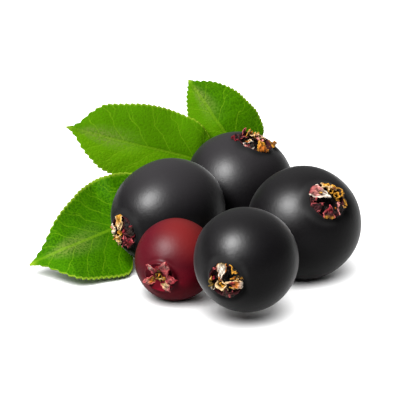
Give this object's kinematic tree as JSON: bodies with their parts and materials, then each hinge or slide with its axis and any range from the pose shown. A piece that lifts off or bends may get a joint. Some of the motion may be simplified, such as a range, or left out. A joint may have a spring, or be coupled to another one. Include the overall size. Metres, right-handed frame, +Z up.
{
  "type": "elderberry sprig",
  "caption": "Picked sprig of round, waxy berries with dried star calyxes, toothed green leaves and a woody stem, lying as picked.",
  "frame": {"origin": "on the ground under the middle of the sprig's bounding box", "axes": "+Z up from the ground it lies on, +Y from the front berry back towards the leaves along the sprig, +X to the right"},
  "size_m": [0.0334, 0.0411, 0.0138],
  "materials": {
    "black_skin": "near-black waxy berry skin, half matte",
    "red_skin": "dark red waxy berry skin, half matte",
    "dry_calyx": "dried calyx, tan and burgundy, matte",
    "leaf_green": "fresh green leaf, satin with paler veins",
    "bark": "thin brown bark, matte"
  },
  "bodies": {
    "root": {"berry_left": "black_skin", "berry_back": "black_skin", "berry_right": "black_skin", "berry_front": "black_skin", "berry_red": "red_skin", "calyx_left": "dry_calyx", "calyx_back": "dry_calyx", "calyx_right": "dry_calyx", "calyx_front": "dry_calyx", "calyx_red": "dry_calyx", "leaf_lower": "leaf_green", "leaf_upper": "leaf_green", "leaf_top": "leaf_green", "stem": "bark"}
  },
  "joints": []
}
